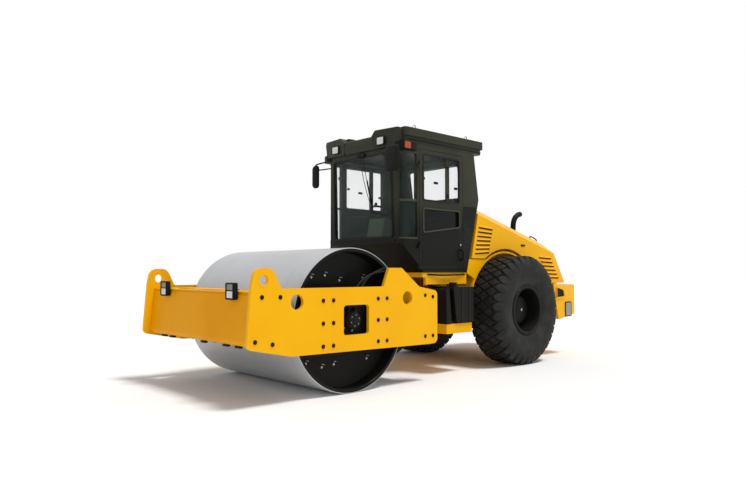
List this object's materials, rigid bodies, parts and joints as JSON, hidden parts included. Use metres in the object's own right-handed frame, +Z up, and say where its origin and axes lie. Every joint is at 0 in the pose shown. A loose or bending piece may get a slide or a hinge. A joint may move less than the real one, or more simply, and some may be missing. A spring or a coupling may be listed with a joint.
{
  "type": "single-drum soil compactor with cab",
  "caption": "Ride-on road roller: a smooth steel drum in a front yoke, steered by a centre joint, with a closed cab, sloping engine hood and two large rear tyres",
  "frame": {"origin": "centre of the machine's outer box on the ground", "axes": "+X forward over the drum, +Y to the machine's left, +Z up"},
  "size_m": [6.2158, 2.3, 3.097],
  "materials": {
    "yellow_paint": "glossy amber-yellow machine enamel",
    "black_paint": "satin black enamel",
    "cab_paint": "satin charcoal enamel",
    "black_plastic": "moulded black plastic",
    "drum_steel": "machined bright steel with fine turning marks",
    "cast_black": "black painted castings and plate",
    "rod_chrome": "polished hard chrome",
    "tyre_rubber": "black tyre rubber",
    "tinted_glass": "lightly green tinted safety glass",
    "seat_fabric": "dark woven seat cover"
  },
  "bodies": {
    "chassis": {"rear_frame": "yellow_paint", "rear_axle": "cast_black", "engine_block": "cast_black", "rear_bumper": "yellow_paint", "fender_left": "yellow_paint", "fender_right": "yellow_paint", "side_tank_left": "black_paint", "side_tank_right": "black_paint", "cab_platform": "yellow_paint", "cab_frame": "cab_paint", "cab_roof": "cab_paint", "windscreen": "tinted_glass", "rear_window": "tinted_glass", "quarter_window_left": "tinted_glass", "quarter_window_right": "tinted_glass", "seat": "seat_fabric", "steering_console": "black_plastic", "mirror_left": "black_plastic", "mirror_right": "black_plastic"},
    "centre_joint": {"centre_knuckle": "cast_black"},
    "front_yoke": {"front_beam": "yellow_paint", "rear_beam": "yellow_paint", "side_plate_left": "yellow_paint", "side_plate_right": "yellow_paint", "drum_support_left": "cast_black", "drum_support_right": "cast_black", "scraper_front": "black_paint", "scraper_rear": "black_paint", "front_lamp_left": "black_plastic", "front_lamp_right": "black_plastic"},
    "drum": {"drum_shell": "drum_steel"},
    "wheel_left": {"rim_left": "black_paint", "tyre_left": "tyre_rubber"},
    "wheel_right": {"rim_right": "black_paint", "tyre_right": "tyre_rubber"},
    "cab_door_left": {"door_left": "cab_paint", "door_glass_left": "tinted_glass"},
    "cab_door_right": {"door_right": "cab_paint", "door_glass_right": "tinted_glass"},
    "engine_hood": {"hood": "yellow_paint", "exhaust_pipe": "black_paint"},
    "cylinder_left": {"steering_barrel_left": "yellow_paint"},
    "cylinder_right": {"steering_barrel_right": "yellow_paint"},
    "rod_left": {"steering_rod_left": "rod_chrome"},
    "rod_right": {"steering_rod_right": "rod_chrome"}
  },
  "joints": [
    {"name": "centre_steer", "type": "hinge", "parent": "chassis", "child": "centre_joint", "pos_m": [0.19211, 0, 0.762], "axis": [0, 0, 1], "range_deg": [-35, 35]},
    {"name": "yoke_oscillation", "type": "hinge", "parent": "centre_joint", "child": "front_yoke", "pos_m": [0.54211, 0, 0.762], "axis": [-1, 0, 0], "range_deg": [-12, 12]},
    {"name": "drum_roll", "type": "hinge", "parent": "front_yoke", "child": "drum", "pos_m": [1.79211, 0, 0.762], "axis": [0, 1, 0], "continuous": true},
    {"name": "wheel_roll_left", "type": "hinge", "parent": "chassis", "child": "wheel_left", "pos_m": [-1.35789, 0.89, 0.745], "axis": [0, 1, 0], "continuous": true},
    {"name": "wheel_roll_right", "type": "hinge", "parent": "chassis", "child": "wheel_right", "pos_m": [-1.35789, -0.89, 0.745], "axis": [0, 1, 0], "continuous": true},
    {"name": "cab_door_swing_left", "type": "hinge", "parent": "chassis", "child": "cab_door_left", "pos_m": [0.42711, 0.765, 2.05], "axis": [0, 0, -1], "range_deg": [0, 90]},
    {"name": "cab_door_swing_right", "type": "hinge", "parent": "chassis", "child": "cab_door_right", "pos_m": [0.42711, -0.765, 2.05], "axis": [0, 0, 1], "range_deg": [0, 90]},
    {"name": "hood_tilt", "type": "hinge", "parent": "chassis", "child": "engine_hood", "pos_m": [-2.93189, 0, 1.104], "axis": [0, -1, 0], "range_deg": [0, 55]},
    {"name": "cylinder_swing_left", "type": "hinge", "parent": "chassis", "child": "cylinder_left", "pos_m": [-0.50789, 0.26, 0.76], "axis": [0, 0, 1], "range_deg": [-2.88, 2.88]},
    {"name": "rod_stroke_left", "type": "slide", "parent": "cylinder_left", "child": "rod_left", "axis": [0.9984, -0.0569, 0], "range_m": [-0.128, 0.128]},
    {"name": "cylinder_swing_right", "type": "hinge", "parent": "chassis", "child": "cylinder_right", "pos_m": [-0.50789, -0.26, 0.76], "axis": [0, 0, 1], "range_deg": [-2.88, 2.88]},
    {"name": "rod_stroke_right", "type": "slide", "parent": "cylinder_right", "child": "rod_right", "axis": [0.9984, 0.0569, 0], "range_m": [-0.128, 0.128]}
  ],
  "couplings": [
    {"joint": "cylinder_swing_left", "follows": "centre_steer", "ratio": 0.082},
    {"joint": "rod_stroke_left", "follows": "centre_steer", "m_per_rad": -0.2094},
    {"joint": "cylinder_swing_right", "follows": "centre_steer", "ratio": 0.082},
    {"joint": "rod_stroke_right", "follows": "centre_steer", "m_per_rad": 0.2094}
  ]
}
